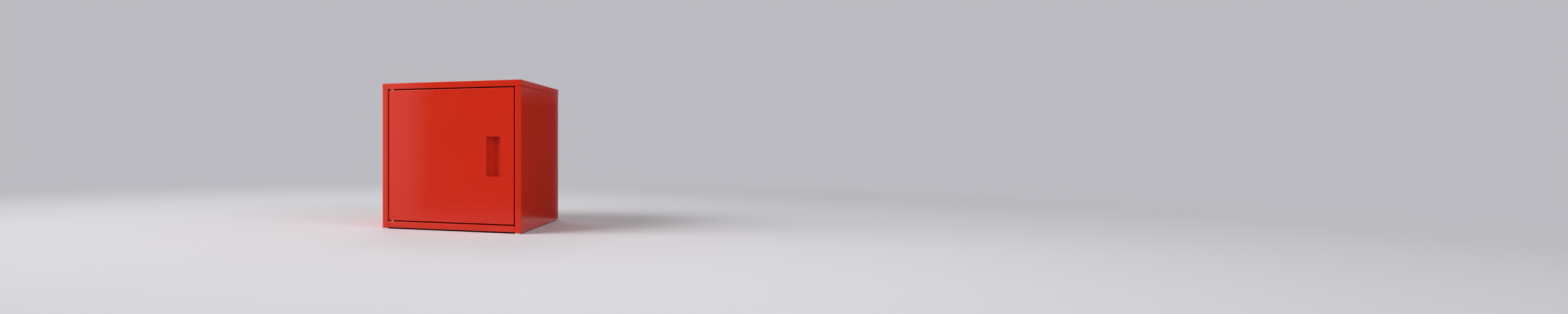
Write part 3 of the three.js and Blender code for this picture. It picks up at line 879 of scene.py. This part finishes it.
class BuildDoor(bpy.types.Operator):
    """Build the door: a deep pan with the handle's opening in its face"""
    bl_idname = "cabinet.door"
    bl_label = "Door"

    def execute(self, context):
        sizes, door, fittings = groups("sheet", "door", "fittings")
        size = door_high - door_low
        shell = pan(size.x, size.z, size.y, door.lip, sizes)
        front = door_low.y
        stand = Matrix.Translation((0, front, (door_low.z + door_high.z) / 2))
        shell = moved(shell, stand @ Matrix.Rotation(-math.pi / 2, 4, "X"))

        left, right, low, high = handle_opening(sizes, door)
        outline = rounded((left, low), (right, high), [sizes.corner / 2] * 4, sizes.bend_steps)
        soft = sizes.punched_edge
        levels = [(-soft, front - OVERRUN)]
        levels += [(-soft * (1 - math.sin(a)), front + soft * (1 - math.cos(a)))
                   for a in quarter(PUNCH_STEPS)]
        levels += [(0.0, front + sizes.sheet + OVERRUN)]
        punch = skin([[(p.x, level, p.y) for p in inset(outline, amount)] for amount, level in levels])
        at = middle("lower_pivot_pin")
        barrel = fittings.pin_barrel + fittings.clearance
        pins = [drill(at.x, at.y, z, z + sizes.sheet, barrel, sizes)
                for z in (door_low.z, door_high.z - sizes.sheet)]
        show("door_sheet", cut(shell, punch, *pins), ["door_pan"], "door", "powder_coat")
        return {"FINISHED"}


def handle_opening(sizes, door):
    """The handle opening's left, right, lower and upper edge."""
    right = door_high.x - door.handle_edge
    return right - door.handle_width, right, cup_low.z + sizes.sheet, cup_high.z - sizes.sheet


class BuildHandleCup(bpy.types.Operator):
    """Build the handle cup: an undercut wall for the fingers, a flat floor, a ramp and a steep rim"""
    bl_idname = "cabinet.handle_cup"
    bl_label = "Handle cup"

    def execute(self, context):
        sizes, door = groups("sheet", "door")
        left, right, low, high = handle_opening(sizes, door)
        wall = right + door.undercut
        crease = right - door.floor_width
        rim = left - door.rim_gap
        front = cup_low.y
        floor = cup_high.y - sizes.sheet
        ramp = (rim + door.rim_lean, front + door.rim_step)
        section = folded([(wall + sizes.sheet + door.tab, front), (wall, front), (wall, floor),
                          (crease, floor), ramp, (rim, front), (rim - door.tab, front)], sizes)
        strip = prism(section, low - sizes.sheet, high + sizes.sheet, UPRIGHT, sizes.raw_edge)
        bite = sizes.sheet / 2
        end = [Vector(p) for p in ((wall + bite, front), (wall + bite, floor + bite),
                                   (crease, floor + bite), (ramp[0], ramp[1] + bite),
                                   (rim, front + bite), (rim, front))]
        plates = [prism(end, z, z + sizes.sheet) for z in (low - sizes.sheet, high)]
        show("handle_cup_sheet", join(strip, *plates), ["handle_cup"], "door", "powder_coat")
        return {"FINISHED"}


def thread(radius, low, high):
    """The profile of a threaded shank between two heights, as ridges round it."""
    pitch, depth = 0.8 * MM, 0.3 * MM
    turns = max(1, round((high - low) / pitch))
    step = (high - low) / turns
    points = []
    for i in range(turns):
        points += [(radius - depth, low + (i + THREAD_ROOT) * step),
                   (radius, low + (i + THREAD_CREST) * step),
                   (radius, low + (i + THREAD_CREST_END) * step)]
    return points + [(radius - depth, high)]


def hexagon(at, low, high, radius):
    """An upright bar with six sides. The radius is that of its corners."""
    return prism([point + at.xy for point in circle(radius, 6)], low, high)


class BuildPivotPins(bpy.types.Operator):
    """Build the two moulded pins that the door turns on"""
    bl_idname = "cabinet.pivot_pins"
    bl_label = "Pivot pins"

    def execute(self, context):
        sizes, fittings = groups("sheet", "fittings")
        soft = fittings.moulded_edge
        for node, low, high, at, head in each(LEVELS, "pivot_pin"):
            size = high.z - low.z
            if node.startswith("lower"):
                foot, carrier, turn = low.z, tray_high.z, 0
            else:
                foot, carrier, turn = high.z, lid_low.z, math.pi
            shoulder = abs(carrier - foot) + 0.7 * soft
            neck = size - fittings.pin_head
            profile = eased([(0, 0), (fittings.pivot_pin, 0, soft), (fittings.pivot_pin, shoulder),
                             (fittings.pin_barrel, shoulder, soft / 2), (fittings.pin_barrel, neck),
                             (head, neck, soft), (head, size, soft), (0, size)])
            pin = turned(0, 0, 0, profile, sizes.round_steps)
            stand = Matrix.Translation((at.x, at.y, foot)) @ Matrix.Rotation(turn, 4, "X")
            show(node + "_moulding", moved(pin, stand), [node], "door", "white_nylon")
        return {"FINISHED"}


class BuildCatch(bpy.types.Operator):
    """Build the magnetic catch: a moulded housing, its magnet and two cross-head screws"""
    bl_idname = "cabinet.catch"
    bl_label = "Catch"

    def execute(self, context):
        sizes, fittings = groups("sheet", "fittings")
        low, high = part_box("catch_housing")
        soft = fittings.moulded_edge
        chamfer = soft / 2
        housing = prism(rounded((low.x, low.z), (high.x, high.z), [2.5 * soft] * 4, sizes.bend_steps),
                        low.y, high.y, ALONG_Y, soft)
        magnet_low, magnet_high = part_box("catch_magnet")
        gap = Vector((fittings.magnet_gap, fittings.magnet_gap))
        pocket = prism(rounded(magnet_low.xz - gap, magnet_high.xz + gap, [soft] * 4, 3),
                       low.y - OVERRUN, magnet_high.y + fittings.magnet_gap, ALONG_Y)
        tools = [pocket]
        for node, _, _, at, head in each(LEVELS, "catch_screw"):
            wall = head + fittings.clearance
            seat = low.y + fittings.catch_head + fittings.clearance
            mouth = wall + chamfer
            well = [(0, low.y - OVERRUN), (mouth, low.y - OVERRUN), (mouth, low.y),
                    (wall, low.y + chamfer), (wall, seat), (0, seat)]
            tools.append(hole_for(node, low.y, high.y, sizes, ALONG_Y))
            tools.append(turned(at.x, 0, at.z, well, sizes.round_steps, ALONG_Y))
        show("catch_moulding", cut(housing, *tools), ["catch_housing"], "carcass", "catch_plastic")
        magnet = prism(rounded(magnet_low.xz, magnet_high.xz, [0.5 * soft] * 4, 3),
                       magnet_low.y, magnet_high.y, ALONG_Y, 0.4 * soft)
        show("catch_magnet_block", magnet, ["catch_magnet"], "carcass", "magnet")

        reach, arm = fittings.cross_reach, fittings.cross_arm
        crown_round, rim_round, seat_round, lead = 0.9 * MM, 0.2 * MM, 0.1 * MM, 0.2 * MM
        for node, low, high, at, head in each(LEVELS, "catch_screw"):
            neck = low.y + fittings.catch_head
            point = high.y - 1.6 * fittings.catch_screw
            rim = low.y + 0.6 * fittings.catch_head
            crown = eased([(0, low.y), (0.6 * head, low.y, crown_round), (head, rim, rim_round),
                           (head, neck, seat_round), (fittings.catch_screw, neck)])
            profile = crown + thread(fittings.catch_screw, neck + lead, point) + [(0, high.y)]
            screw = turned(at.x, 0, at.z, profile, sizes.round_steps, ALONG_Y)
            cross = [block((at.x - x, low.y - OVERRUN, at.z - z),
                           (at.x + x, low.y + fittings.cross_depth, at.z + z))
                     for x, z in ((arm, reach), (reach, arm))]
            show(node + "_turned", cut(screw, *cross), [node], "carcass", "zinc_steel")
        return {"FINISHED"}


class BuildDoorBumpers(bpy.types.Operator):
    """Build the two rubber bumpers that the door closes against"""
    bl_idname = "cabinet.door_bumpers"
    bl_label = "Door bumpers"

    def execute(self, context):
        sizes, carcass, fittings = groups("sheet", "carcass", "fittings")
        stop = side_low.y + carcass.stop_depth
        rim = stop - sizes.sheet - fittings.pad_gap
        stem = fittings.door_bumper
        barb, barb_rise, barb_round = stop + 0.2 * MM, 0.3 * MM, 0.15 * MM
        brim, brim_round, tip_round = 0.3 * MM, 0.2 * MM, 0.3 * MM
        side = 0.35  # The share of a bumper's height below its dome
        for node, low, high, at, radius in each(LEVELS, "door_bumper"):
            dome = [(radius * math.sin(a), rim - (rim - low.y) * (side + (1 - side) * math.cos(a)))
                    for a in quarter(DOME_STEPS)]
            dome[0] = (0, low.y)
            profile = dome + eased([(radius, rim - brim), (radius, rim, brim_round), (stem, rim),
                                    (stem, barb), (1.25 * stem, barb + barb_rise, barb_round),
                                    (0.6 * stem, high.y, tip_round), (0, high.y)])
            show(node + "_moulding", turned(at.x, 0, at.z, profile, sizes.round_steps, ALONG_Y),
                 [node], "carcass", "rubber")
        return {"FINISHED"}


class BuildFeet(bpy.types.Operator):
    """Build the four moulded feet with their push-in stems"""
    bl_idname = "cabinet.feet"
    bl_label = "Feet"

    def execute(self, context):
        sizes, fittings = groups("sheet", "fittings")
        soft, tip_round = fittings.moulded_edge, 1.4 * MM
        for node, low, high, at, _ in each(CORNERS, "foot"):
            pad = prism(rounded(low.xy, high.xy, [fittings.foot_corner] * 4, sizes.bend_steps),
                        low.z, side_low.z - fittings.pad_gap, UPRIGHT, soft)
            profile = eased([(0, side_low.z / 2), (fittings.foot, side_low.z / 2),
                             (fittings.foot, high.z, tip_round), (0, high.z)])
            stem = turned(at.x, at.y, 0, profile, sizes.round_steps)
            half = Vector((fittings.foot_slot, 2 * fittings.foot))
            slot = block((*(at.xy - half), side_low.z + fittings.foot_root),
                         (*(at.xy + half), high.z + OVERRUN))
            show(node + "_moulding", join(pad, cut(stem, slot)), [node], "carcass", "white_nylon")
        return {"FINISHED"}


class BuildLidFasteners(bpy.types.Operator):
    """Build the four socket-head screws under the lid and their hexagon nuts"""
    bl_idname = "cabinet.lid_fasteners"
    bl_label = "Lid fasteners"

    def execute(self, context):
        sizes, fittings = groups("sheet", "fittings")
        shank = fittings.lid_screw
        crown_round, seat_round, head_steps = 0.9 * MM, 0.15 * MM, 6
        lead, tip, wide, sink = 0.5 * MM, 0.4 * MM, fittings.hex_socket + 0.1 * MM, 0.35 * MM
        for screw_at, nut_at in zip(each(CORNERS, "lid_screw"), each(CORNERS, "lid_nut")):
            node, low, high, at, head = screw_at
            seat = low.z + fittings.screw_head
            crown = eased([(0, low.z), (head, low.z, crown_round), (head, seat, seat_round),
                           (shank, seat)], head_steps)
            profile = crown + thread(shank, seat + lead, high.z - tip) + [(0, high.z)]
            screw = turned(at.x, at.y, 0, profile, sizes.round_steps)
            socket = hexagon(at, low.z - OVERRUN, low.z + fittings.hex_depth, fittings.hex_socket)
            mouth = turned(at.x, at.y, low.z,
                           [(0, -OVERRUN), (wide, -OVERRUN), (wide, 0),
                            (0.8 * fittings.hex_socket, sink), (0, sink)], SOCKET_STEPS)
            show(node + "_turned", cut(screw, socket, mouth), [node], "carcass", "zinc_steel")

            # A shallow cone at each end, lower than it is wide, dulls the nut's corners
            node, low, high, _, radius = nut_at
            slope = 0.13 * radius
            flat = radius - 1.9 * slope
            bore_round = 0.4 * MM
            body = hexagon(at, low.z, high.z, radius)
            ring = turned(at.x, at.y, 0,
                          [(0, low.z), (flat, low.z), (radius, low.z + slope),
                           (radius, high.z - slope), (flat, high.z), (0, high.z)], NUT_STEPS)
            bore = drill(at.x, at.y, low.z, high.z, shank + fittings.clearance, sizes,
                         UPRIGHT, bore_round)
            nut = cut(combine("INTERSECT", body, [ring]), bore)
            show(node + "_body", nut, [node], "carcass", "zinc_steel")
        return {"FINISHED"}


class BuildRivets(bpy.types.Operator):
    """Build the four dome-head rivets that hold the side panels to the bottom tray"""
    bl_idname = "cabinet.rivets"
    bl_label = "Rivets"

    def execute(self, context):
        sizes, fittings = groups("sheet", "fittings")
        shank = fittings.rivet
        pit_round, crown_round, rim_round, seat_round = 0.05 * MM, 1.2 * MM, 0.4 * MM, 0.1 * MM
        bulge, bulge_round, tail_round, pit_slope = 1.2 * MM, 0.7 * MM, 0.4 * MM, 0.1 * MM
        for node, low, high, at, head in each(CORNERS, "rivet"):
            seat = low.z + fittings.rivet_head
            tail = high.z - fittings.rivet_tail
            pit = low.z + fittings.mandrel_depth
            rim = low.z + 0.6 * fittings.rivet_head
            profile = eased([(0, pit), (fittings.mandrel, pit),
                             (fittings.mandrel + pit_slope, low.z, pit_round),
                             (0.55 * head, low.z, crown_round), (head, rim, rim_round),
                             (head, seat, seat_round), (shank, seat), (shank, tail),
                             (1.5 * shank, tail, tail_round),
                             (1.5 * shank, high.z - bulge, bulge_round),
                             (0.7 * shank, high.z, tail_round), (0, high.z)])
            show(node + "_turned", turned(at.x, at.y, 0, profile, sizes.round_steps),
                 [node], "carcass", "zinc_steel")
        return {"FINISHED"}


def lamp(name, place, target, size, radiance, reflected=True):
    """A rectangular softbox that looks at a point. Its radiance is how bright its face is, where 1 is
    white. The camera doesn't see it, but reflections do, unless reflected is false."""
    light = bpy.data.lights.new(name, "AREA")
    light.shape = "RECTANGLE"
    light.size, light.size_y = size
    light.energy = radiance * math.pi * size[0] * size[1]
    box = bpy.data.objects.new(name, light)
    box.location = place
    box.rotation_euler = (Vector(target) - Vector(place)).to_track_quat("-Z", "Y").to_euler()
    box.visible_camera = False
    box.visible_glossy = reflected
    bpy.context.scene.collection.objects.link(box)


def sheet_of_stage(name, points, material):
    """A flat stage piece through four or more points."""
    mesh = bpy.data.meshes.new(name)
    mesh.from_pydata([tuple(point) for point in points], [], [range(len(points))])
    mesh.materials.append(material)
    piece = bpy.data.objects.new(name, mesh)
    bpy.context.scene.collection.objects.link(piece)
    return piece


class BuildStage(bpy.types.Operator):
    """Set up the camera, the pale floor, the backdrop and the soft studio light"""
    bl_idname = "cabinet.stage"
    bl_label = "Stage"

    def execute(self, context):
        scene = context.scene
        stage = scene.cabinet_stage
        scene.view_settings.view_transform = "Standard"

        lens = bpy.data.cameras.new("Camera")
        lens.sensor_width = stage.sensor
        lens.lens = stage.lens
        lens.shift_x, lens.shift_y = stage.shift_x, stage.shift_y
        camera = bpy.data.objects.new("Camera", lens)
        camera.location = stage.eye
        camera.rotation_euler = (math.pi / 2, 0, stage.turn)
        scene.collection.objects.link(camera)
        scene.camera = camera

        rim = [(p.x, p.y, 0) for p in circle(stage.floor_reach, FLOOR_STEPS)]
        sheet_of_stage("floor", rim, self.floor(stage))
        self.backdrop(scene, stage)

        # Two far boxes on the left give the even light, and the others its slow change to the right.
        # Three low boxes aren't mirrored, because the lid would show them in low views from the sides.
        lamp("key_softbox", (-4.6, -3.7, 4.3), (0, -0.1, 0.2), (4.0, 4.0), 8.0)
        lamp("left_window", (-6.5, -1.65, 1.7), (0, -0.1, 0.2), (2.4, 3.0), 5.0,
             reflected=False)
        lamp("left_panel", (-1.517, -1.12, 0.55), (-0.067, 0.256, 0.55), (1.984, 1.1), 0.47)
        lamp("front_softbox", (0.8, -1.1, 1.2), (0.1, -0.17, 0.15), (0.9, 0.9), 1.3)
        lamp("side_softbox", (3.0, -1.35, 1.7), (0.1, -0.15, 0.15), (1.6, 1.6), 3.3,
             reflected=False)
        lamp("right_fill", (2.0, 0.3, 1.2), (0, 0, 0.15), (1.4, 1.4), 0.65,
             reflected=False)
        lamp("rear_fill", (-0.7, 1.5, 2.0), (0, 0.1, 0.15), (1.4, 1.0), 2.6)

        # Dim cards, seen only in reflections, keep the gloss of the front and of the right side dark
        self.card("front_card", (-0.275, -0.6), (1.15, -0.6), height=0.68, left=0.11, right=0.01)
        self.card("side_card", (0.185, 0.21), (0.7, 0.21), height=0.5, left=0.023, right=0.023)
        return {"FINISHED"}

    @staticmethod
    def card(name, start, end, height, left, right):
        """An upright card between two points on the floor that only reflections show, with one grey on
        its left and one on its right. Its left end is sharp, and its right end and top fade out."""
        material = bpy.data.materials.new(name)
        shader = Shader(material)
        run = Vector(end) - Vector(start)
        way = shader.vector("SUBTRACT", shader.place(), (*start, 0))
        along = shader.measure("DOT_PRODUCT", way, (*(run / run.length_squared), 0))
        up = shader.measure("DOT_PRODUCT", way, (0, 0, 1 / height))
        clear = shader.math("MAXIMUM", shader.fade(along, 0.7, 1.0), shader.fade(up, 0.6, 1.0))
        grey = shader.blend(shader.fade(along, 0.3, 0.45), (left,) * 3, (right,) * 3)
        tint = shader.signal("ShaderNodeEmission", 0, None, {"Color": grey})
        shader.output(shader.between(clear, tint, shader.signal("ShaderNodeBsdfTransparent", 0)))
        corners = [(*start, 0), (*end, 0), (*end, height), (*start, height)]
        card = sheet_of_stage(name, corners, material)
        card.visible_camera = card.visible_diffuse = card.visible_shadow = False

    @staticmethod
    def floor(stage):
        """A pale matt floor that keeps the cabinet's shadow and runs out into the backdrop."""
        material = bpy.data.materials.new("Floor")
        shader = Shader(material)
        place = shader.place()
        cloud = shader.noise(place, 3.0, 2.0)
        near = shader.principled({
            "Base Color": shader.blend(cloud, scaled(stage.floor, 0.98), stage.floor),
            "Roughness": 0.6 + (shader.noise(place, 40.0, 3.0) - 0.5) * 0.06,
            "Specular IOR Level": 0.0,
        })
        far = shader.signal("ShaderNodeEmission", 0, None, {"Color": stage.backdrop})
        gone = shader.fade(shader.measure("LENGTH", place), stage.fade_start, stage.fade_end)
        shader.output(shader.between(gone, near, far))
        return material

    @staticmethod
    def backdrop(scene, stage):
        """The world: the backdrop's plain colour where it is seen, and soft light all round."""
        scene.world = bpy.data.worlds.new("Backdrop")
        shader = Shader(scene.world)
        path = shader.node("ShaderNodeLightPath")
        seen = Signal(shader, path.outputs["Is Camera Ray"])
        for ray in ("Is Glossy Ray", "Is Transmission Ray"):
            seen = shader.math("MAXIMUM", seen, Signal(shader, path.outputs[ray]))
        soft = shader.signal("ShaderNodeBackground", 0, None,
                             {"Color": (1.0, 1.0, 1.0), "Strength": stage.ambient})
        plain = shader.signal("ShaderNodeBackground", 0, None, {"Color": stage.backdrop})
        shader.output(shader.between(seen, soft, plain), "ShaderNodeOutputWorld")


PROPERTY_GROUPS = {
    "cabinet_sheet": SheetSizes,
    "cabinet_carcass": CarcassSizes,
    "cabinet_door": DoorSizes,
    "cabinet_fittings": FittingSizes,
    "cabinet_finishes": Finishes,
    "cabinet_stage": StageSettings,
}

OPERATORS = (BuildLid, BuildSidePanels, BuildBottomTray, BuildBackPanel, BuildDoor, BuildHandleCup,
             BuildPivotPins, BuildCatch, BuildDoorBumpers, BuildFeet, BuildLidFasteners, BuildRivets,
             BuildStage)


class CABINET_PT_build(bpy.types.Panel):
    """Lists the cabinet's pieces and their sizes"""
    bl_idname = "CABINET_PT_build"
    bl_label = "Box cabinet"
    bl_space_type = "VIEW_3D"
    bl_region_type = "UI"
    bl_category = "Cabinet"

    def draw(self, context):
        for operator in OPERATORS:
            self.layout.operator(operator.bl_idname)
        for name, group in PROPERTY_GROUPS.items():
            box = self.layout.box()
            for size in group.__annotations__:
                box.prop(getattr(context.scene, name), size)


CLASSES = (*PROPERTY_GROUPS.values(), *OPERATORS, CABINET_PT_build)


def register():
    for kind in CLASSES:
        bpy.utils.register_class(kind)
    for name, group in PROPERTY_GROUPS.items():
        setattr(bpy.types.Scene, name, PointerProperty(type=group))


def unregister():
    for name in PROPERTY_GROUPS:
        delattr(bpy.types.Scene, name)
    for kind in reversed(CLASSES):
        bpy.utils.unregister_class(kind)


def main():
    register()
    for operator in OPERATORS:
        getattr(bpy.ops.cabinet, operator.bl_idname.split(".")[1])()


if __name__ == "__main__":
    main()
